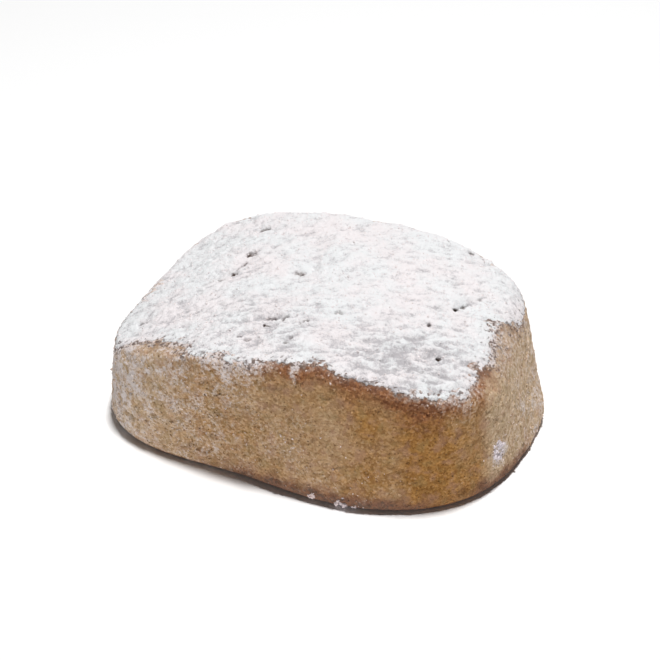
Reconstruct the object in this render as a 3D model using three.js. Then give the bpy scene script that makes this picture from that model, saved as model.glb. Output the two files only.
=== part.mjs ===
// A polvoron: an oblong almond shortbread, cut from a thick sheet of crumbly dough and baked.
// It is one solid piece. The cut side leans in a little towards the top, the foot is rounded under,
// and the top has risen into a crown along its length, with short baking cracks and pits.
// Millimetres, +Z up. The origin is at the middle of the base, and the long axis lies along X.
import * as THREE from "three";

// Driving dimensions. The waves below make the finished outline half a millimetre larger.
const length = 59.5;
const width = 44.7;
const crownHeight = 20; // floor to the middle of the top

// The foot's outline and the top's outline are oblongs with very round corners.
const foot = {
  halfLength: length / 2,
  halfWidth: width / 2,
  squareness: 3.1,
};
const top = {
  halfLength: length / 2 - 2.1,
  halfWidth: width / 2 - 2.3,
  squareness: 4.1,
  shiftX: -0.6,
  shiftY: -0.7,
};

// Hand cutting leaves broad waves in both outlines: how many round the edge, how deep as a share of
// the radius, and at what bearing from +X, in degrees, the first one stands out.
const footWaves = [
  { count: 2, depth: 0.006, bearing: -9 },
  { count: 5, depth: 0.022, bearing: 3 },
];
const topWaves = [
  { count: 2, depth: 0.011, bearing: 71 },
  { count: 3, depth: 0.016, bearing: -9 },
  { count: 4, depth: 0.019, bearing: -15 },
  { count: 5, depth: 0.014, bearing: -18 },
];

// The top's broad form.
const crownFall = 6; // from the middle down to each end
const slope = 0.065; // up towards +X, in millimetres a millimetre
const warp = 1.2; // how far opposite corners are twisted down and up

// The section through the edge.
const footRadius = 1.6;
const shoulder = { drop: 1.4, inset: 1.2 };
const endShoulder = { extraDrop: 1.5, spread: 50 }; // the +X end has the roundest shoulder
const wallCurve = 1.35; // over 1, the wall stands steep at the foot and leans in more near the top

// Crumbly relief of the baked dough: two sizes of lump, each as size and height.
const lumps = [
  { size: 7.6, height: 0.32 },
  { size: 3.3, height: 0.22 },
];

// Baking cracks and pits in the top: middle, length, bearing from +X in degrees, width and depth.
const cracks = [
  { x: -15.6, y: 2.4, length: 9, bearing: 68, width: 1.0, depth: 0.9 },
  { x: -16.5, y: 13.0, length: 3, bearing: 60, width: 1.0, depth: 0.5 },
  { x: -4.6, y: 1.9, length: 6, bearing: 44, width: 1.0, depth: 0.6 },
  { x: -1.6, y: -11.0, length: 7, bearing: 27, width: 1.5, depth: 0.7 },
  { x: -23.1, y: -12.2, length: 5, bearing: 52, width: 1.0, depth: 0.5 },
  { x: 16.0, y: -3.7, length: 3, bearing: 15, width: 1.0, depth: 0.7 },
  { x: 19.0, y: 4.2, length: 9, bearing: 67, width: 1.0, depth: 0.9 },
  { x: 19.9, y: -9.7, length: 4, bearing: 25, width: 1.0, depth: 0.8 },
];

// How finely the surface is divided.
const sectors = 124;
const steps = { foot: 4, wall: 8, shoulder: 4, top: 15 };

const radians = THREE.MathUtils.degToRad;
const { lerp, clamp, smoothstep } = THREE.MathUtils;

// A round biscuit is turned first, of this size, and then drawn out to the oblong. The outer band
// keeps its turned section, so the foot and the shoulder have the same radius all the way round.
const turned = { radius: width / 2, height: crownHeight, band: 3.8 };

function turnedProfile() {
  const { radius, height } = turned;
  const points = [new THREE.Vector2(0, 0), new THREE.Vector2(radius / 2, 0)];
  for (let i = 0; i <= steps.foot; i++) {
    const angle = (Math.PI / 2) * (i / steps.foot);
    const inset = footRadius * (1 - Math.sin(angle));
    points.push(new THREE.Vector2(radius - inset, footRadius * (1 - Math.cos(angle))));
  }
  for (let i = 1; i < steps.wall; i++) {
    const z = lerp(footRadius, height - shoulder.drop, i / steps.wall);
    points.push(new THREE.Vector2(radius, z));
  }
  for (let i = 0; i <= steps.shoulder; i++) {
    const angle = (Math.PI / 2) * (i / steps.shoulder);
    const inset = shoulder.inset * (1 - Math.cos(angle));
    points.push(new THREE.Vector2(radius - inset, height - shoulder.drop * (1 - Math.sin(angle))));
  }
  const topRadius = radius - shoulder.inset;
  for (let i = 1; i <= steps.top; i++) {
    points.push(new THREE.Vector2(topRadius * (1 - i / steps.top), height));
  }
  return points;
}

// Distance from the axis to an outline, at an angle.
function outlineRadius(outline, waves, angle) {
  const along = Math.abs(Math.cos(angle)) / outline.halfLength;
  const across = Math.abs(Math.sin(angle)) / outline.halfWidth;
  const power = outline.squareness;
  const oblong = (along ** power + across ** power) ** (-1 / power);
  let wave = 0;
  for (const { count, depth, bearing } of waves) {
    wave += depth * Math.cos(count * (angle - radians(bearing)));
  }
  return oblong * (1 + wave);
}

// A repeatable number from -1 to 1 for a lattice point.
function latticeValue(i, j, k) {
  let h = Math.imul(i, 374761393) ^ Math.imul(j, 668265263) ^ Math.imul(k, 2147483647);
  h = Math.imul(h ^ (h >>> 13), 1274126177);
  h ^= h >>> 16;
  return ((h >>> 0) / 0xffffffff) * 2 - 1;
}

// Smooth noise from -1 to 1, one lattice cell to a unit.
function noise(x, y, z) {
  const [i, j, k] = [Math.floor(x), Math.floor(y), Math.floor(z)];
  const [u, v, w] = [smoothstep(x - i, 0, 1), smoothstep(y - j, 0, 1), smoothstep(z - k, 0, 1)];
  const edge = (dj, dk) => lerp(latticeValue(i, j + dj, k + dk), latticeValue(i + 1, j + dj, k + dk), u);
  return lerp(lerp(edge(0, 0), edge(1, 0), v), lerp(edge(0, 1), edge(1, 1), v), w);
}

function relief(x, y, z) {
  let sum = 0;
  for (const { size, height } of lumps) {
    sum += height * noise(x / size, y / size, z / size);
  }
  return sum;
}

// Depth of the cracks at a point of the top.
function crackDepth(x, y) {
  let deepest = 0;
  for (const crack of cracks) {
    const direction = radians(crack.bearing);
    const [dx, dy] = [x - crack.x, y - crack.y];
    const along = dx * Math.cos(direction) + dy * Math.sin(direction);
    const across = dy * Math.cos(direction) - dx * Math.sin(direction);
    const taper = 1 - smoothstep(Math.abs(along), crack.length * 0.25, crack.length * 0.5);
    deepest = Math.max(deepest, crack.depth * taper * Math.exp(-((across / crack.width) ** 2)));
  }
  return deepest;
}

// Height of the top's broad form over a point.
function topHeight(x, y) {
  const along = x / foot.halfLength;
  const across = y / foot.halfWidth;
  return crownHeight - crownFall * along ** 2 + slope * x - warp * along * across;
}

// Carries a point of the turned biscuit to the baked one.
function bake(point) {
  const angle = Math.atan2(point.y, point.x);
  const radius = Math.hypot(point.x, point.y);
  const level = clamp((point.z - footRadius) / (turned.height - footRadius), 0, 1);
  const lean = level ** wallCurve;
  const outline = lerp(
    outlineRadius(foot, footWaves, angle),
    outlineRadius(top, topWaves, angle),
    lean,
  );
  const inner = turned.radius - turned.band;
  const reach = radius > inner
    ? outline - (turned.radius - radius)
    : (radius / inner) * (outline - turned.band);
  let x = reach * Math.cos(angle) + top.shiftX * lean;
  let y = reach * Math.sin(angle) + top.shiftY * lean;

  const shoulderShare = smoothstep(radius, inner, turned.radius);
  const endShare = Math.exp(-((Math.atan2(y, x) / radians(endShoulder.spread)) ** 2));
  const ceiling = topHeight(x, y) - endShoulder.extraDrop * endShare * shoulderShare;
  const fromTop = turned.height - point.z;
  const z = fromTop <= shoulder.drop
    ? ceiling - fromTop
    : (point.z / (turned.height - shoulder.drop)) * (ceiling - shoulder.drop);

  // The foot stands flat, so the relief fades out towards it.
  const bump = relief(x, y, z) * smoothstep(z, 0, footRadius * 2);
  const topShare = 1 - smoothstep(fromTop, 0, shoulder.drop);
  x += bump * Math.cos(angle) * (1 - topShare);
  y += bump * Math.sin(angle) * (1 - topShare);
  point.set(x, y, z + (bump - crackDepth(x, y)) * topShare);
}

function biscuitGeometry() {
  const geometry = new THREE.LatheGeometry(turnedProfile(), sectors);
  geometry.rotateX(Math.PI / 2);
  const position = geometry.getAttribute("position");
  const point = new THREE.Vector3();
  for (let i = 0; i < position.count; i++) {
    bake(point.fromBufferAttribute(position, i));
    position.setXYZ(i, point.x, point.y, point.z);
  }
  geometry.computeBoundingBox();
  const middle = geometry.boundingBox.getCenter(new THREE.Vector3());
  geometry.translate(-middle.x, -middle.y, 0);
  geometry.computeVertexNormals();
  return geometry;
}

const bakedDough = new THREE.MeshStandardMaterial({ color: 0xb08c62, roughness: 0.95, metalness: 0 });

const polvoron = new THREE.Mesh(biscuitGeometry(), bakedDough);
polvoron.name = "polvoron";

const part = new THREE.Group();
part.add(polvoron);

export default part;
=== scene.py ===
import random
from bisect import bisect_left
from itertools import accumulate
from math import atan2, cos, degrees, exp, hypot, pi, radians, sin

import bmesh
import bpy
from mathutils import Euler, Matrix, Vector, noise
from mathutils.kdtree import KDTree


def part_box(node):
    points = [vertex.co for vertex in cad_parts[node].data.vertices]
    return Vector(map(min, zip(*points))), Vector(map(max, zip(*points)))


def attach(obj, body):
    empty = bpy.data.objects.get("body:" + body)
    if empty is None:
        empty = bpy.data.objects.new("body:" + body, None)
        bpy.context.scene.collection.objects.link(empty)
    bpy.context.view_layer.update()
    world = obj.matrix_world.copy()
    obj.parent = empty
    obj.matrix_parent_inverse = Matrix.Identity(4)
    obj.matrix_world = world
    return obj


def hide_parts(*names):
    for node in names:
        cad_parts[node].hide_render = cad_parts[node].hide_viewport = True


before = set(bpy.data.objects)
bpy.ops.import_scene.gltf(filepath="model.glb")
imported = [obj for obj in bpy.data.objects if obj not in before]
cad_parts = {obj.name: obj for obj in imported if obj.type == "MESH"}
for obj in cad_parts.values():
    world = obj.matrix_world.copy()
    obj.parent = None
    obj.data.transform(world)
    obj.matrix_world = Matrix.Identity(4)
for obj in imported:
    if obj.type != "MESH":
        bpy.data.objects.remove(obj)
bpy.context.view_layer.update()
nodeName = "polvoron"
mm = 0.001
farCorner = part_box(nodeName)[1] / mm
print("frame loaded", [round(side, 1) for side in farCorner])


# Small sums used by every piece.

def smoothRise(start, end, value):  # 0 before start, 1 after end
    share = min(max((value - start) / (end - start), 0), 1)
    return share * share * (3 - 2 * share)


def mix(first, second, share):
    return first + (second - first) * share


def ripple(point, size, seed):  # soft unevenness from -1 to 1
    return noise.noise(point / size + Vector((3.1, 5.3, 7.7)) * seed)


def pebbles(point, size, seed):  # rounded lumps, about -1 to 1
    return 1 - 2.4 * noise.voronoi(point / size + Vector((4.3, 2.9, 6.1)) * seed)[0][0]


def wrinkle(point, size, seed):  # a ripple drawn out slantwise across the top
    along = 0.40 * point.x + 0.18 * point.y
    across = 0.92 * point.y - 0.40 * point.x
    return ripple(Vector((along, across, point.z)), size, seed)


def swells(point, layers, seed):  # ripples of several sizes, each with its height
    return sum(tall * ripple(point, size, seed) for size, tall in layers)


def weighted(layers, values):  # values of several sizes, each times its layer's height
    return sum(tall * value for (_, tall), value in zip(layers, values))


def bearingOf(point):
    return degrees(atan2(point.y / farCorner.y, point.x / farCorner.x))


def patches(point, spots):  # soft patches round the biscuit: bearing, half width, amount
    bearing = bearingOf(point)
    total = 0
    for middle, reach, amount in spots:
        gap = abs((bearing - middle + 180) % 360 - 180)
        total += amount * (1 - smoothRise(0.6 * reach, 1.4 * reach, gap))
    return total


def clouds(point, spots):  # soft round patches: x, y, z, radius, amount
    total = 0
    for x, y, z, radius, amount in spots:
        total += amount * exp(-(point - Vector((x, y, z))).length_squared / radius ** 2)
    return total


def makeObject(name, bm, body="root"):  # the floor and short-lived objects ride on nothing
    mesh = bpy.data.meshes.new(name)
    bm.to_mesh(mesh)
    bm.free()
    mesh.shade_smooth()
    piece = bpy.data.objects.new(name, mesh)
    bpy.context.scene.collection.objects.link(piece)
    if body:
        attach(piece, body)
    return piece


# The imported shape, rounded a little and divided evenly.

def evenSkin(voxel):
    packed = bmesh.new()
    packed.from_mesh(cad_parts[nodeName].data)
    bmesh.ops.remove_doubles(packed, verts=packed.verts, dist=0.001 * mm)
    holder = makeObject("skinHolder", packed, body=None)
    rounded = holder.modifiers.new("rounded", "SUBSURF")
    rounded.levels = rounded.render_levels = 1
    even = holder.modifiers.new("even", "REMESH")
    even.mode = "VOXEL"
    even.voxel_size = voxel * mm
    evaluated = holder.evaluated_get(bpy.context.evaluated_depsgraph_get())
    skin = bmesh.new()
    skin.from_mesh(evaluated.to_mesh())
    evaluated.to_mesh_clear()
    bpy.data.objects.remove(holder)
    bmesh.ops.smooth_vert(
        skin, verts=skin.verts, factor=0.5, use_axis_x=True, use_axis_y=True, use_axis_z=True
    )
    skin.normal_update()
    return skin


# The rim is the line where the shoulder turns from the top down into the side.

rimLine = {
    "voxel": 0.5,
    "outside": 0.75,  # it lies beyond this share of the way out from the middle
    "facing": (0.6, 0.74),  # how far up the skin faces there
    "depth": 5.0,  # nothing further than this below it lies inside it
}


def findRim():
    skin = evenSkin(rimLine["voxel"])
    least, most = rimLine["facing"]
    onRim = []
    for v in skin.verts:
        place = v.co / mm
        outer = hypot(place.x / farCorner.x, place.y / farCorner.y) > rimLine["outside"]
        if outer and least < v.normal.z < most:
            onRim.append(place)
    skin.free()
    tree = KDTree(len(onRim))
    for index, place in enumerate(onRim):
        tree.insert(place, index)
    tree.balance()
    return tree


rim = findRim()


def pastRim(point):  # how far a point lies inside the rim, less than 0 down the side
    near, _, distance = rim.find(point)
    outward = Vector((near.x, near.y, 0)).normalized()
    inside = (near - point).dot(outward) + point.z - near.z
    return distance if inside > 0 and point.z > near.z - rimLine["depth"] else -distance


# The coat of icing sugar.

sugarCoat = {
    "voxel": 0.36,  # halved afterwards, and again beside the cracks
    "from": 8.0,  # nothing of the coat lies lower than this
    "lip": 0.12,  # how far it stands over the dough, once well inside its edge
    "sunk": 0.6,  # how deep it ends inside the dough
    "bareStrip": [  # where it stops short, or reaches past the rim
        (-12, 26, 2.1),
        (-21, 5, 0.6),
        (-37, 3, -0.7),
        (-43, 6, 0.5),
        (-62, 9, 0.6),
        (-82, 10, 1.1),
        (-109, 6, 0.9),
        (-126, 9, 3.2),
        (100, 72, -0.7),
    ],
    # Size and reach of the waves in its edge.
    "ragged": [(5.0, 0.40), (1.7, 0.40), (0.7, 0.60), (0.4, 0.40)],
    "speckledEdge": [(-8, 24, 0.9), (-127, 13, 0.5)],  # where its edge is flecked further in: dough showing through, and painted shade between lumps
    "covers": (-0.9, -0.1),  # it rises out of the dough between these distances inside its edge
    "thickens": (-0.1, 1.6),
    "roughens": (-0.1, 1.4),
    # Size and height of its unevenness, from broad to fine.
    "heaps": [(9.0, 0.12), (3.6, 0.14)],
    "lumps": [(1.5, 0.11), (0.75, 0.09)],
    "wrinkles": [(1.5, 0.16), (0.7, 0.12)],
    "grain": (0.42, 0.06),
    "roughShadedSpots": [  # rougher, and greyed with painted shade: x, y, z, radius, amount
        (15, -14, 19, 8, 0.95),
        (20, -8, 18, 5, 0.45),
        (-4, -13, 19, 7, 0.75),
        (-18, -12, 17, 6, 0.3),
    ],
    "pinholes": 150,
    "pinholeReach": (0.10, 0.24),
    "pinholeDepth": (0.1, 0.35),
    "pinholeShade": (0.1, 0.6),
    "margin": 1.4,  # its skin is cut off this far below the rim
}

# Baking cracks and pits: middle x and y, length, bearing, half width, depth, and how much painted
# shade lies inside.
cracks = [
    (-16.7, -1.5, 1.7, -20, 0.20, 0.6, 0.9),
    (-17.9, 0.9, 1.2, 20, 0.35, 0.4, 0.4),
    (-15.4, 0.4, 0.9, 50, 0.40, 1.1, 1.4),
    (-15.3, 2.7, 2.4, 80, 0.26, 0.8, 1.0),
    (-15.1, 5.9, 1.8, 40, 0.50, 0.6, 0.7),
    (-16.5, 13.0, 1.6, 35, 0.36, 0.8, 0.9),
    (-23.7, -11.5, 1.4, 42, 0.18, 0.5, 0.6),
    (-5.7, 1.8, 1.8, 10, 0.42, 0.6, 0.7),
    (-4.0, 3.7, 0.7, 45, 0.30, 0.6, 0.7),
    (-4.2, -12.4, 0.9, 70, 0.32, 0.9, 1.3),
    (-4.2, -10.4, 1.2, 20, 0.24, 0.7, 0.8),
    (-2.6, -9.9, 1.4, 80, 0.26, 0.6, 0.7),
    (0.4, -10.3, 1.4, 25, 0.24, 0.7, 0.8),
    (-6.5, -16.0, 0.7, 10, 0.20, 0.6, 0.8),
    (-5.0, -16.4, 1.3, 30, 0.30, 0.5, 0.5),
    (0.3, -15.9, 0.8, 60, 0.22, 0.7, 0.9),
    (0.5, -14.5, 0.8, 60, 0.20, 0.5, 0.7),
    (3.9, -6.7, 1.3, 30, 0.42, 0.6, 0.7),
    (15.6, -3.0, 0.5, 20, 0.24, 0.9, 1.2),
    (17.5, 2.7, 1.1, 70, 0.25, 0.9, 1.2),
    (18.0, 4.5, 1.8, 65, 0.17, 0.8, 0.9),
    (19.4, 7.2, 1.4, 50, 0.18, 0.4, 0.4),
    (19.3, -9.1, 0.8, 48, 0.26, 1.0, 1.2),
    (18.6, -13.9, 1.4, 30, 0.32, 0.4, 0.4),
    (14.3, 17.4, 1.1, 0, 0.26, 0.6, 0.8),
    (16.2, 17.1, 1.1, -5, 0.26, 0.5, 0.7),
]
crackForm = {
    "strays": 0.15,  # how far it wanders to each side
    "uneven": 0.9,  # how much its width comes and goes
    "ends": (-0.3, 0.25),  # it runs out between these distances past its length
    "core": (1.2, 0.8),  # width of the shade in it, as a share of its own, and how dark
    "halo": (2.6, 0.2),
}


def crackAt(point):  # depth in millimetres, and how much painted shade
    depthHere, darkHere = 0, 0
    early, late = crackForm["ends"]
    coreWide, coreDark = crackForm["core"]
    haloWide, haloDark = crackForm["halo"]
    for x, y, length, bearing, gap, depth, dark in cracks:
        dx, dy = point.x - x, point.y - y
        if abs(dx) > length + 1 or abs(dy) > length + 1:
            continue
        turn = radians(bearing)
        along = dx * cos(turn) + dy * sin(turn)
        across = dy * cos(turn) - dx * sin(turn) + crackForm["strays"] * ripple(point, 0.8, 11)
        wide = gap * (1 + crackForm["uneven"] * ripple(point, 0.4, 12))
        inside = 1 - smoothRise(length / 2 + early, length / 2 + late, abs(along))
        inside *= 0.85 + 0.7 * ripple(point, 0.6, 13)
        depthHere = max(depthHere, depth * inside * exp(-((across / wide) ** 2)))
        core = exp(-((across / wide / coreWide) ** 2))
        halo = exp(-((across / gap / haloWide) ** 2))
        darkHere = max(darkHere, dark * inside * (coreDark * core + haloDark * halo))
    return depthHere, darkHere


def makePinholes():  # small pits where the powder has fallen in
    picker = random.Random(21)
    ranges = [sugarCoat[key] for key in ("pinholeReach", "pinholeDepth", "pinholeShade")]
    holes = KDTree(sugarCoat["pinholes"])
    sizes = []
    for index in range(sugarCoat["pinholes"]):
        x, y = [picker.uniform(-side, side) for side in farCorner[:2]]
        holes.insert((x, y, 0), index)
        sizes.append([picker.uniform(*limits) for limits in ranges])
    holes.balance()
    return holes, sizes


def pinholeAt(point, holes, sizes):  # depth in millimetres, and how much painted shade
    _, index, distance = holes.find((point.x, point.y, 0))
    reach, depth, dark = sizes[index]
    share = exp(-((distance / reach) ** 2))
    return depth * share, dark * share


def sugarReach(point):  # how far a point lies inside the sugar's edge
    wander = sum(reach * ripple(point, size, 20 + size) for size, reach in sugarCoat["ragged"])
    return pastRim(point) - patches(point, sugarCoat["bareStrip"]) + wander


def divide(skin, wanted):  # halves the edges around the wanted points
    edges = [e for e in skin.edges if wanted(e.verts[0]) and wanted(e.verts[1])]
    bmesh.ops.subdivide_edges(skin, edges=edges, cuts=1, use_grid_fill=True)
    skin.normal_update()


def makeSugarCoat():
    settings = sugarCoat
    skin = evenSkin(settings["voxel"])
    under = [v for v in skin.verts if v.co.z < settings["from"] * mm]
    bmesh.ops.delete(skin, geom=under, context="VERTS")
    spare = [v for v in skin.verts if pastRim(v.co / mm) < -settings["margin"]]
    bmesh.ops.delete(skin, geom=spare, context="VERTS")
    bmesh.ops.delete(skin, geom=[e for e in skin.edges if e.is_wire], context="EDGES")
    divide(skin, lambda v: True)
    divide(skin, lambda v: crackAt(v.co / mm)[1] > 0.1)  # finer where a crack shades it
    dark = skin.verts.layers.float.new("crackShade")
    hollowShade = skin.verts.layers.float.new("hollowShade")
    grainSize, grainTall = settings["grain"]
    holes, holeSizes = makePinholes()
    moves = []
    for v in skin.verts:
        point = v.co / mm
        reach = sugarReach(point)
        depth, shade = crackAt(point)
        pitDepth, pitShade = pinholeAt(point, holes, holeSizes)
        roughShaded = clouds(point, settings["roughShadedSpots"])
        lumps = [pebbles(point, size, 32) for size, _ in settings["lumps"]]
        wrinkles = [wrinkle(point, size, 35) for size, _ in settings["wrinkles"]]
        grain = ripple(point, grainSize, 33)
        rough = weighted(settings["lumps"], lumps) + grainTall * grain
        rough += weighted(settings["wrinkles"], wrinkles)
        relief = swells(point, settings["heaps"], 31)
        relief += rough * (1 + roughShaded) * smoothRise(*settings["roughens"], reach)
        relief += settings["lip"] * smoothRise(*settings["thickens"], reach) - max(depth, pitDepth)
        cover = smoothRise(*settings["covers"], reach)
        moves.append(mix(-settings["sunk"], relief, cover))
        speckled = 0.9 + patches(point, settings["speckledEdge"])
        # dark flecks at the edge: dough showing through, and painted shade between lumps
        fleckAndShade = smoothRise(0.1, 0.4, ripple(point, 0.5, 34))
        fleckAndShade *= exp(-(((reach - 0.2) / speckled) ** 2))
        v[dark] = max(shade, pitShade, 0.6 * fleckAndShade) * cover
        # painted shade: the powder is greyed in the hollows between its lumps and wrinkles
        low = -(0.3 * sum(lumps) + 0.5 * wrinkles[0] + 1.1 * wrinkles[1] + 0.6 * grain)
        v[hollowShade] = low * (0.75 + 0.3 * roughShaded) + 0.6 * roughShaded
    for v, move in zip(skin.verts, moves):
        v.co += v.normal * move * mm
    bmesh.ops.holes_fill(skin, edges=[e for e in skin.edges if e.is_boundary], sides=0)
    bmesh.ops.recalc_face_normals(skin, faces=skin.faces)
    coat = makeObject("sugarCoat", skin)
    print("sugar coat", len(coat.data.polygons))
    return coat


# The dough, with its browned edge and its dusting, painted shade on its shoulder and beside the
# sugar, and a painted contact shadow at its foot.

biscuitBody = {
    "voxel": 0.465,  # halved afterwards on the sides
    # Size and height of its unevenness, from broad to fine.
    "waves": [(6.0, 0.10), (2.6, 0.12)],
    "crumb": [(1.4, 0.07), (0.7, 0.06)],
    "grain": (0.45, 0.03),
    "pits": (1.6, 0.2),  # size and depth
    "smoothFoot": (0.1, 1.6),  # the unevenness sets in between these heights
    "edgeCrumb": 0.10,  # how far crumbs poke up through the sugar's thin edge
    "underSugar": 1.1,  # how deep the dough lies under the coat
    "sinks": (1.0, 2.4),  # and it sinks there between these distances inside the sugar's edge
    "toastDepth": (2.8, [(-45, 17, 1.2), (118, 45, 0.8)]),  # how far down the toasted band fades
    "toastPatches": [
        (-62, 27, 1.0),
        (-87, 9, 0.45),
        (-53, 8, 0.15),
        (-25, 7, 0.75),
        (118, 45, 0.7),
        (40, 22, 0.3),
    ],
    "toastedLine": (0.5, 0.4),  # darker just beside the sugar: how wide, how much
    # painted shade: the shoulder is darker the more it faces up
    "shadedShoulder": 0.22,
    "toastedFoot": (1.3, 0.8),  # how high the browning of the base climbs, and how strong it is
    # painted contact shadow: a dark strip round the foot, just over the floor: how high, and how
    # strong
    "footShadow": (0.9, 1.6),
    "brownedFoot": (
        3.7,
        [(-74, 24, 0.9), (-104, 8, 0.3), (-46, 8, 0.2), (-18, 18, 0.75), (95, 50, 0.5)],
    ),
    "baseFacing": (0.95, 0.995),  # how far down the skin of the flat base faces
    "baseMarks": (0.55, 0.6, 0.05, 0),  # how toasted, baked, dusty and flecked the base is
    "bakePatches": [
        (-41, 12, 0.85),
        (-54, 14, 0.35),
        (-85, 30, 0.6),
        (-120, 14, 0.15),
        (110, 45, 0.7),
    ],
    "dustPatches": [
        (8, 24, 0.15),
        (180, 42, 0.35),
        (-145, 14, 0.3),
        (-119, 23, 0.42),
        (30, 14, 0.25),
        (60, 22, 0.2),
    ],
    "dustClouds": [
        (28.6, -9.0, 5.6, 1.9, 1.0),
        (28.9, -8.3, 4.8, 1.3, 0.6),
        (4.5, -21.7, 11.0, 3.5, 0.22),
        (1.0, -21.7, 8.0, 3.0, 0.2),
        (-24.0, -17.0, 9.0, 6.0, 0.33),
        (-15.0, -21.0, 14.0, 4.0, 0.25),
        (28.8, 3.0, 6.0, 7.0, 0.42),
        (6.0, -22.0, 4.0, 6.0, 0.2),
        (15.0, -20.5, 3.0, 4.0, 0.15),
        (-20.0, 21.0, 8.0, 5.0, 0.4),
        (8.0, 22.0, 6.0, 5.0, 0.4),
    ],
    "streakDust": 1.1,
    "dustStreaks": [  # where sugar has run down the front: x, half width, length
        (3.6, 0.5, 4.6),
        (-1.8, 0.3, 1.8),
        (-8.5, 0.6, 1.6),
        (-19.0, 0.5, 2.0),
    ],
    "edgeDust": (  # how far down the dust under the sugar thins out
        0.5,
        [
            (-4, 14, 0.8),
            (24, 18, 0.4),
            (180, 42, 0.6),
            (-108, 14, 0.5),
            (-97, 8, 1.5),
            (-80, 14, 0.3),
            (-52, 10, 0.3),
            (-35, 9, 1.2),
        ],
    ),
    # How much dust lies there.
    "edgeThick": (0.65, [(-42, 14, 0.3), (-4, 14, 0.85), (-99, 12, 0.25), (-79, 8, 0.1)]),
    # How wide the dull strip beside the sugar is: painted shade under the sugar's lip, with browned
    # crumbs.
    "edgeShade": (1.1, [(-2, 20, 1.4), (-127, 13, 1.2)]),
}

# Painted on the dough, and carried by its crumbs.
doughMarks = ("toastAndShade", "bake", "dust", "hollowShade", "fleckAndShade")


def dustAt(point, below):  # how much sugar clings to the side
    settings = biscuitBody
    cloudy = 0.8 + 0.6 * ripple(point, 2.6, 47) + 0.6 * ripple(point, 1.1, 50)
    dust = patches(point, settings["dustPatches"]) + clouds(point, settings["dustClouds"])
    dust *= cloudy
    if point.y < 0:
        for x, width, length in settings["dustStreaks"]:
            fade = max(1 - below / length, 0)
            aside = (point.x - x + 0.3 * ripple(point, 1.5, 48)) / width
            dust += settings["streakDust"] * fade * exp(-(aside ** 2))
    thinning, wider = settings["edgeDust"]
    thick, thicker = settings["edgeThick"]
    under = exp(-below / (thinning + patches(point, wider)))
    return dust + (thick + patches(point, thicker)) * under


def footAt(point):  # how browned the strip over the foot is
    high, spots = biscuitBody["brownedFoot"]
    climb = (point.z + 1.2 * ripple(point, 1.8, 52)) / high
    return patches(point, spots) * (1 - smoothRise(0.2, 1.1, climb))


def darkeningAt(point, normal, below, foot, base):  # the strongest of all that darkens it: toasting and browning, painted shade on the up-facing shoulder, and the painted contact shadow at the foot
    settings = biscuitBody
    depth, deeper = settings["toastDepth"]
    lineWide, lineDark = settings["toastedLine"]
    toastedHigh, toasted = settings["toastedFoot"]
    footShadowHigh, scorchedAndShadow = settings["footShadow"]
    band = (depth + patches(point, deeper)) * (1 + 0.4 * ripple(point, 3.0, 45))
    line = lineDark * exp(-((below / lineWide) ** 2))
    return max(
        patches(point, settings["toastPatches"]) * (exp(-((below / band) ** 2)) + line),
        foot,
        settings["shadedShoulder"] * smoothRise(0.25, 0.8, normal.z),
        toasted * (1 - smoothRise(0, toastedHigh, point.z)),
        scorchedAndShadow * (1 - base) * (1 - smoothRise(0.1, footShadowHigh, point.z)),
    )


def makeBiscuitBody():
    settings = biscuitBody
    skin = evenSkin(settings["voxel"])
    divide(skin, lambda v: v.normal.z > -0.6 and pastRim(v.co / mm) < 1.6)
    toastAndShade, bake, dust, hollowShade, fleckAndShade = [skin.verts.layers.float.new(name) for name in doughMarks]
    shadeWide, shadeWider = settings["edgeShade"]
    pitSize, pitDepth = settings["pits"]
    grainSize, grainTall = settings["grain"]
    moves = []
    for v in skin.verts:
        point = v.co / mm
        reach = sugarReach(point)
        lumps = [pebbles(point, size, 42) for size, _ in settings["crumb"]]
        grain = ripple(point, grainSize, 40)
        relief = swells(point, settings["waves"], 41)
        relief += weighted(settings["crumb"], lumps) + grainTall * grain
        relief += settings["edgeCrumb"] * pebbles(point, 0.6, 49) * exp(-(reach**2))
        pitted = ripple(point, pitSize, 43) + 0.3 * ripple(point, 0.8, 44)
        relief -= pitDepth * smoothRise(0.3, 0.6, pitted)
        relief *= smoothRise(*settings["smoothFoot"], point.z)
        relief -= settings["underSugar"] * smoothRise(*settings["sinks"], reach)
        moves.append(v.normal * relief)
        below = max(-reach, 0)
        foot = footAt(point)
        base = smoothRise(*settings["baseFacing"], -v.normal.z)
        v[toastAndShade] = darkeningAt(point, v.normal, below, foot, base)
        v[bake] = patches(point, settings["bakePatches"]) * (1 + 0.25 * ripple(point, 7.0, 46))
        v[dust] = dustAt(point, below)
        # painted shade: the dough darkens in the hollows of its crumb
        v[hollowShade] = -(sum(lumps) / 2 + 0.5 * grain)
        # painted shade under the sugar's lip, with flecks, and the browned foot
        v[fleckAndShade] = max(exp(-((reach / (shadeWide + patches(point, shadeWider))) ** 2)), foot)
        toasted, *others = settings["baseMarks"]  # browned evenly, where it lay on the tray
        onBase = [toasted + 0.5 * ripple(point, 5.0, 53)] + others
        for mark, amount in zip((toastAndShade, bake, dust, fleckAndShade), onBase):
            v[mark] = mix(v[mark], amount, base)
    for v, move in zip(skin.verts, moves):
        v.co += move * mm
        v.co.z = max(v.co.z, 0)
    body = makeObject("biscuitBody", skin)
    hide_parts(nodeName)
    print("dough", len(body.data.polygons))
    return body


# Loose things: sugar grains and dough crumbs.

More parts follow.
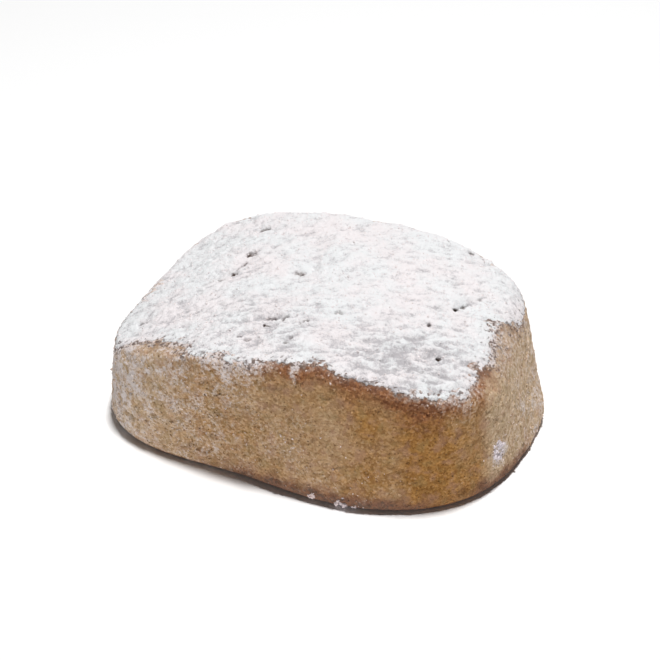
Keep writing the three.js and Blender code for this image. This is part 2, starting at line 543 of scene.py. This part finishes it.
def spotsOn(piece, count, wanted, seed, tries=30):  # random spots, kept where they are wanted
    picker = random.Random(seed)
    vertices = piece.data.vertices
    polygons = [p for p in piece.data.polygons if len(p.vertices) == 4]
    areas = list(accumulate(p.area for p in polygons))
    found = []
    for _ in range(count * tries):
        polygon = polygons[bisect_left(areas, picker.random() * areas[-1])]
        corners = [vertices[index].co for index in polygon.vertices]
        across, up = picker.random(), picker.random()
        spot = corners[0].lerp(corners[1], across).lerp(corners[3].lerp(corners[2], across), up)
        if picker.random() < wanted(spot / mm, polygon.normal):
            found.append((spot, polygon.normal.copy(), polygon.vertices[0]))
        if len(found) == count:
            break
    return found


lumpForm = {
    "stretched": (0.7, 1.3),  # along each of its axes
    "dented": 0.6,  # how far it is pushed in and out, as a share of its radius
    "dentSize": 1.1,  # and over what distance, in its radii
    "jagged": 0.25,
    "batch": 60,  # lumps made at once, because a small mesh grows faster
}


def scatterLumps(name, spots, settings, seed, carried=(), source=None):
    picker = random.Random(seed)
    joined = bmesh.new()
    roundness = settings["roundness"]
    for start in range(0, len(spots), lumpForm["batch"]):
        batch = bmesh.new()
        layers = [batch.verts.layers.float.new(key) for key in carried]
        for spot, normal, near in spots[start:start + lumpForm["batch"]]:
            size = settings["size"] * picker.lognormvariate(0, settings["spread"])
            size = mm * min(size, settings["most"])
            turn = Euler([picker.uniform(0, 2 * pi) for _ in range(3)]).to_matrix().to_4x4()
            sides = [picker.uniform(*lumpForm["stretched"]) for _ in range(3)]
            middle = spot + normal * size * (1 - 2 * settings["buried"])
            place = Matrix.Translation(middle) @ turn @ Matrix.Diagonal(sides + [1])
            lump = bmesh.ops.create_icosphere(
                batch, subdivisions=roundness, radius=size, matrix=place
            )
            for v in lump["verts"]:
                dent = ripple(v.co / mm, lumpForm["dentSize"] * size / mm, 56)
                v.co += (v.co - middle) * lumpForm["dented"] * dent
                jolt = Vector([picker.uniform(-1, 1) for _ in range(3)])
                v.co += jolt * size * lumpForm["jagged"] / roundness
                v.co.z = max(v.co.z, 0)
                for layer, key in zip(layers, carried):
                    v[layer] = source.data.attributes[key].data[near].value
        holder = bpy.data.meshes.new("batch")
        batch.to_mesh(holder)
        batch.free()
        joined.from_mesh(holder)
        bpy.data.meshes.remove(holder)
    print(name, len(spots))
    return makeObject(name, joined)


# Each kind's size is its radius, spread is how much that varies, and most is the largest.
sugarGrains = {
    "onTop": 5200,
    "onSide": 1500,
    "size": 0.075,
    "spread": 0.4,
    "most": 0.20,
    "buried": 0.6,
    "roundness": 1,
    "perDust": 0.25,  # how many cling where the side is dusty
    "underEdge": (0.5, 0.5),  # how many lie just under the coat, and how far down they thin out
    "clumps": [(28.5, -9.0, 5.7, 1.1, 2.5)],
}

# Bits of sugar caught on the side and at the foot.
sugarClots = {
    "count": 120,
    "tries": 2500,
    "size": 0.19,
    "spread": 0.35,
    "most": 0.4,
    "buried": 0.66,
    "roundness": 2,
    "clumped": 0.7,
    "clumps": [
        (28.5, -9.1, 5.9, 0.95, 1.0),
        (28.8, -8.4, 5.0, 0.5, 0.5),
        (7.0, -22.5, 0.9, 0.45, 0.6),
        (10.8, -22.2, 0.6, 0.6, 0.8),
        (13.0, -21.8, 0.5, 0.5, 0.7),
    ],
}


def makeSugarGrains(coat, body):
    def wantedOnTop(point, normal):
        return normal.z > 0.2 and sugarReach(point) > -0.1

    def wantedOnSide(point, normal):
        if normal.z < -0.4 or point.z < 0.6:
            return 0
        reach = sugarReach(point)
        if reach > 0.1:
            return 0
        many, thinning = sugarGrains["underEdge"]
        dusty = sugarGrains["perDust"] * dustAt(point, -reach)
        return dusty + many * exp(reach / thinning) + clouds(point, sugarGrains["clumps"])

    def wantedInClots(point, normal):
        return sugarClots["clumped"] * clouds(point, sugarClots["clumps"])

    topSpots = spotsOn(coat, sugarGrains["onTop"], wantedOnTop, 51)
    sideSpots = spotsOn(body, sugarGrains["onSide"], wantedOnSide, 52)
    grains = scatterLumps("sugarGrains", topSpots + sideSpots, sugarGrains, 53)
    firstOnSide = len(grains.data.vertices) * len(topSpots) // len(topSpots + sideSpots)
    onSide = grains.data.attributes.new("onSide", "FLOAT", "POINT")
    marks = [float(index >= firstOnSide) for index in range(len(onSide.data))]
    onSide.data.foreach_set("value", marks)
    clotSpots = spotsOn(body, sugarClots["count"], wantedInClots, 54, sugarClots["tries"])
    clots = scatterLumps("sugarClots", clotSpots, sugarClots, 55)
    return grains, clots


doughCrumbs = {
    "count": 4800,
    "size": 0.12,
    "spread": 0.45,
    "most": 0.38,
    "buried": 0.72,
    "roundness": 1,
}


def makeDoughCrumbs(body):
    def wanted(point, normal):
        return normal.z > -0.5 and point.z > 0.4 and sugarReach(point) < 0.2

    spots = spotsOn(body, doughCrumbs["count"], wanted, 61)
    crumbs = scatterLumps("doughCrumbs", spots, doughCrumbs, 62, doughMarks, body)
    return crumbs


# Finishes.

class Paint:  # one shader socket, so that shader maths reads as plain sums
    def __init__(self, tree, socket=None):
        self.tree = tree
        self.socket = socket

    def add(self, kind, settings, values, output=0):
        node = self.tree.nodes.new(kind)
        for name, value in settings.items():
            setattr(node, name, value)
        for name, value in values.items():
            if isinstance(value, Paint):
                self.tree.links.new(value.socket, node.inputs[name])
            else:
                node.inputs[name].default_value = value
        return Paint(self.tree, node.outputs[output])

    def sum(self, operation, first, second):
        return self.add("ShaderNodeMath", {"operation": operation}, {0: first, 1: second})

    def __add__(self, other):
        return self.sum("ADD", self, other)

    def __radd__(self, other):
        return self.sum("ADD", other, self)

    def __sub__(self, other):
        return self.sum("SUBTRACT", self, other)

    def __rsub__(self, other):
        return self.sum("SUBTRACT", other, self)

    def __mul__(self, other):
        return self.sum("MULTIPLY", self, other)

    def __rmul__(self, other):
        return self.sum("MULTIPLY", other, self)

    def between(self, start, end):  # 0 before start, 1 after end
        values = {"Value": self, "From Min": start, "From Max": end}
        return self.add("ShaderNodeMapRange", {"interpolation_type": "SMOOTHSTEP"}, values)

    def blend(self, first, second, share):  # sockets 6 and 7 are the node's two colours
        return self.add("ShaderNodeMix", {"data_type": "RGBA"}, {0: share, 6: first, 7: second}, 2)

    def grainy(self, size, detail=2.0, rough=0.5):
        values = {"Vector": self, "Scale": 1 / size, "Detail": detail, "Roughness": rough}
        return self.add("ShaderNodeTexNoise", {}, values)

    def cells(self, size):  # 0 in the middle of each bead, and more towards its edge
        return self.add("ShaderNodeTexVoronoi", {}, {"Vector": self, "Scale": 1 / size})

    def beadTone(self, size, channel=0):  # a random number from 0 to 1 for each bead
        values = {"Vector": self, "Scale": 1 / size}
        colour = self.add("ShaderNodeTexVoronoi", {}, values, 1)
        return self.add("ShaderNodeSeparateColor", {}, {"Color": colour}, channel)

    def attribute(self, name):
        return self.add("ShaderNodeAttribute", {"attribute_name": name}, {}, 2)


def rgb(red, green, blue):  # a colour picked as 0 to 255, made linear
    def linear(value):
        value /= 255
        return value / 12.92 if value <= 0.04045 else ((value + 0.055) / 1.055) ** 2.4
    return (linear(red), linear(green), linear(blue), 1)


mattFinish = {
    "bumpDepth": 0.15,
    "shine": 0.15,  # of 1: dry crumb and powder hardly shine
}


class Finish:  # a matt material, with its pattern space in millimetres
    def __init__(self, name):
        self.material = bpy.data.materials.new(name)
        self.material.use_nodes = True
        self.shader = self.material.node_tree.nodes["Principled BSDF"]
        self.paint = Paint(self.material.node_tree)
        values = {"Vector": self.paint.add("ShaderNodeTexCoord", {}, {}, 3), "Scale": (1 / mm,) * 3}
        self.place = self.paint.add("ShaderNodeMapping", {}, values)

    def tint(self, pair, share):  # from one colour to another
        return self.paint.blend(rgb(*pair[0]), rgb(*pair[1]), share)

    def lay(self, colour, relief, strength, roughness):
        depth = mattFinish["bumpDepth"] * mm
        values = {"Height": relief, "Strength": strength, "Distance": depth}
        bump = self.paint.add("ShaderNodeBump", {}, values)
        self.paint.tree.links.new(colour.socket, self.shader.inputs["Base Color"])
        self.paint.tree.links.new(bump.socket, self.shader.inputs["Normal"])
        self.shader.inputs["Roughness"].default_value = roughness
        self.shader.inputs["Specular IOR Level"].default_value = mattFinish["shine"]
        return self.material


doughLook = {  # a pair runs from the darker grain, with painted shade in the crumb's hollows, up to the grain that stands out
    "tan": ((178, 148, 116), (222, 198, 168)),
    "ochre": ((138, 95, 46), (187, 139, 81)),
    "toasted": ((103, 62, 40), (169, 116, 76)),
    "rosy": (178, 140, 122),
    "olive": (150, 128, 86),
    # the darkest toasting, and the painted contact shadow round the foot
    "scorchedAndShadow": (48, 27, 18),
    "dull": (132, 106, 94),  # the strip beside the sugar, partly painted shade under its lip, and the browned foot
    # dark specks beside the sugar: browned crumbs, and painted shade under its lip
    "speck": (98, 80, 70),
    "dusted": ((223, 207, 195), (228, 219, 218)),  # under thin sugar, and under thick
    "paleBead": (222, 200, 180),
    "darkBead": (104, 76, 52),
    "beadSize": 0.42,
    "crumbSize": 0.33,
}


def bakedDough():
    finish = Finish("bakedDough")
    paint, place = finish.paint, finish.place
    toastAndShade, bake, dust, hollowShade, fleckAndShade = [paint.attribute(name) for name in doughMarks]
    broad = place.grainy(5.0, 2.0, 0.5)
    middling = place.grainy(1.4, 3.0, 0.6)
    fine = place.grainy(0.3, 3.0, 0.7)
    powder = place.grainy(0.5, 3.0, 0.75)
    hue = place.grainy(1.8, 2.0, 0.5)
    tone = place.beadTone(doughLook["crumbSize"])
    sand = 1 - place.cells(doughLook["crumbSize"])
    grain = 0.5 + 1.3 * (fine - 0.5) + 1.0 * (middling - 0.5) + 0.8 * (tone - 0.5) - 0.12 * hollowShade

    def over(colour, name, share):  # lays a plain tint over the colour so far
        return paint.blend(colour, rgb(*doughLook[name]), share)

    # The dough itself, baked darker in places and toasted beside the sugar, with painted shade on
    # its shoulder and a painted contact shadow at its foot.
    tan = finish.tint(doughLook["tan"], grain)
    ochre = finish.tint(doughLook["ochre"], grain)
    toasted = finish.tint(doughLook["toasted"], grain)
    colour = paint.blend(tan, ochre, bake + 0.6 * (middling - 0.5) + 0.5 * (broad - 0.5))
    colour = over(colour, "rosy", (hue - 0.5).between(0.02, 0.2) * 0.35)
    colour = over(colour, "olive", (0.5 - hue).between(0.02, 0.2) * 0.35)
    colour = paint.blend(colour, toasted, (toastAndShade * (0.55 + 0.9 * middling)).between(0.05, 0.85))
    # The darkest toasting, and the painted contact shadow round the foot.
    colour = over(colour, "scorchedAndShadow", (toastAndShade - 1.0).between(0, 0.55) * 0.9)
    # The dull strip beside the sugar, partly painted shade under its lip, and the browned foot.
    colour = over(colour, "dull", fleckAndShade * 0.6)

    # The sugar that clings to it.
    speckled = (1.1 + 2.2 * dust) * (powder - 0.5) + 0.4 * (tone - 0.5)
    veil = (1.1 * dust - 0.1 + speckled).between(0.0, 1.1)
    dusted = finish.tint(doughLook["dusted"], veil.between(0.3, 0.9))
    colour = paint.blend(colour, dusted, veil * 0.85)

    # Pale and dark beads of crumb, and the dark specks beside the sugar, partly painted shade under
    # its lip.
    picked = place.beadTone(doughLook["beadSize"], 1)
    bead = 1 - place.cells(doughLook["beadSize"]) + 0.5 * (fine - 0.5)
    pale = (picked - 0.78).between(0, 0.1) * bead.between(0.5, 0.8)
    pale = pale * (dust + 0.06 - 0.2 * bake).between(0, 0.4)
    dark = (0.16 - picked).between(0, 0.1) * bead.between(0.55, 0.8)
    colour = over(colour, "paleBead", pale * 0.75)
    colour = over(colour, "darkBead", dark * 0.7)
    colour = over(colour, "speck", (fleckAndShade * (1.6 * tone)).between(0.55, 1.1) * 0.85)
    return finish.lay(colour, sand + 0.6 * fine + 0.4 * place.grainy(0.16), 0.5, 0.95)


sugarLook = {  # a pair is its pink and its white, in soft clouds
    "coat": ((241, 235, 236), (237, 238, 239)),
    "grain": ((243, 234, 233), (240, 233, 234)),
    "clot": ((232, 214, 212), (230, 220, 224)),
    # painted shade in the hollows of the powder
    "hollowShade": (180, 176, 179),
    "crack": (88, 72, 64),
    "onSide": (230, 208, 196),
}


def cloudedSugar(finish, name):
    return finish.tint(sugarLook[name], finish.place.grainy(6.0, 3.0, 0.6).between(0.35, 0.65))


def powderRelief(finish):
    return finish.place.grainy(0.35, 3.0, 0.7) + 0.6 * finish.place.grainy(0.14)


def icingSugar():
    finish = Finish("icingSugar")
    paint, place = finish.paint, finish.place
    colour = cloudedSugar(finish, "coat")
    # Painted shade: the powder greys in its hollows.
    hollowShade = paint.attribute("hollowShade") + 1.8 * (place.grainy(0.45, 3.0, 0.75) - 0.5)
    hollowShade = hollowShade + 1.6 * (place.grainy(0.17, 1.0, 0.5) - 0.5)
    colour = paint.blend(colour, rgb(*sugarLook["hollowShade"]), hollowShade.between(0.0, 1.3) * 0.85)
    # Painted shade in the cracks and pinholes, and in the dark flecks at the coat's edge.
    shade = paint.attribute("crackShade") + 0.5 * (place.grainy(0.35, 3.0, 0.7) - 0.5)
    colour = paint.blend(colour, rgb(*sugarLook["crack"]), shade.between(0.15, 0.8))
    return finish.lay(colour, powderRelief(finish), 1.0, 1.0)


def sugarGrain():  # creamier where it clings to the side
    finish = Finish("sugarGrain")
    onSide = finish.paint.attribute("onSide") * 0.7
    colour = cloudedSugar(finish, "grain")
    colour = finish.paint.blend(colour, rgb(*sugarLook["onSide"]), onSide)
    return finish.lay(colour, powderRelief(finish), 1.0, 1.0)


def sugarClot():
    finish = Finish("sugarClot")
    return finish.lay(cloudedSugar(finish, "clot"), powderRelief(finish), 1.0, 1.0)


# The studio: pale floor, soft light, camera.

studio = {
    "sky": 0.04,
    "keyAt": (35, 28, 620),
    "keySize": (80, 80),
    "keyPower": 4.0,
    "fillAt": (210, -625, 45),
    "fillSize": (800, 90),
    "fillPower": 1.25,
    "lens": 102.25,
    "aim": (-1.44, 2.64, 10.22),
    "bearing": 23.65,
    "rise": 33.88,
    "distance": 267.6,
    "floorSpan": 3000,
    "floorDrop": 0.02,  # the floor lies this far below the base, so that the two never touch
    "floorTint": (0.99, 0.99, 0.99, 1),
}


def makeFloor():
    ground = bmesh.new()
    down = Matrix.Translation((0, 0, -studio["floorDrop"] * mm))
    bmesh.ops.create_grid(ground, size=studio["floorSpan"] * mm, matrix=down)
    floor = makeObject("studioFloor", ground, body=None)
    material = bpy.data.materials.new("palePaper")
    material.use_nodes = True
    paper = material.node_tree.nodes["Principled BSDF"].inputs
    paper["Base Color"].default_value = studio["floorTint"]
    paper["Roughness"].default_value = 0.9
    paper["Specular IOR Level"].default_value = 0
    floor.data.materials.append(material)


def makeLamp(name):
    lamp = bpy.data.lights.new(name, "AREA")
    lamp.shape = "RECTANGLE"
    lamp.size, lamp.size_y = [side * mm for side in studio[name + "Size"]]
    lamp.energy = studio[name + "Power"]
    holder = bpy.data.objects.new(name, lamp)
    holder.location = Vector(studio[name + "At"]) * mm
    holder.rotation_euler = (-holder.location).to_track_quat("-Z", "Y").to_euler()
    bpy.context.scene.collection.objects.link(holder)


def makeLight():
    world = bpy.data.worlds.new("studioAir")
    bpy.context.scene.world = world
    world.use_nodes = True
    air = world.node_tree.nodes["Background"].inputs
    air["Color"].default_value = (1, 1, 1, 1)
    air["Strength"].default_value = studio["sky"]
    makeLamp("key")
    makeLamp("fill")


def makeCamera():
    bearing, rise = radians(studio["bearing"]), radians(studio["rise"])
    away = Vector((sin(bearing) * cos(rise), -cos(bearing) * cos(rise), sin(rise)))
    lens = bpy.data.cameras.new("camera")
    lens.lens = studio["lens"]
    lens.sensor_width = 36
    lens.clip_start = 0.01
    camera = bpy.data.objects.new("camera", lens)
    camera.location = (Vector(studio["aim"]) + away * studio["distance"]) * mm
    camera.rotation_euler = (-away).to_track_quat("-Z", "Y").to_euler()
    bpy.context.scene.collection.objects.link(camera)
    bpy.context.scene.camera = camera
    bpy.context.scene.view_settings.view_transform = "Standard"


coat = makeSugarCoat()
body = makeBiscuitBody()
grains, clots = makeSugarGrains(coat, body)
crumbs = makeDoughCrumbs(body)
doughFinish = bakedDough()
for piece, finish in [
    (body, doughFinish),
    (crumbs, doughFinish),
    (coat, icingSugar()),
    (grains, sugarGrain()),
    (clots, sugarClot()),
]:
    piece.data.materials.append(finish)
print("finishes laid")

makeFloor()
makeLight()
makeCamera()
print("studio ready")
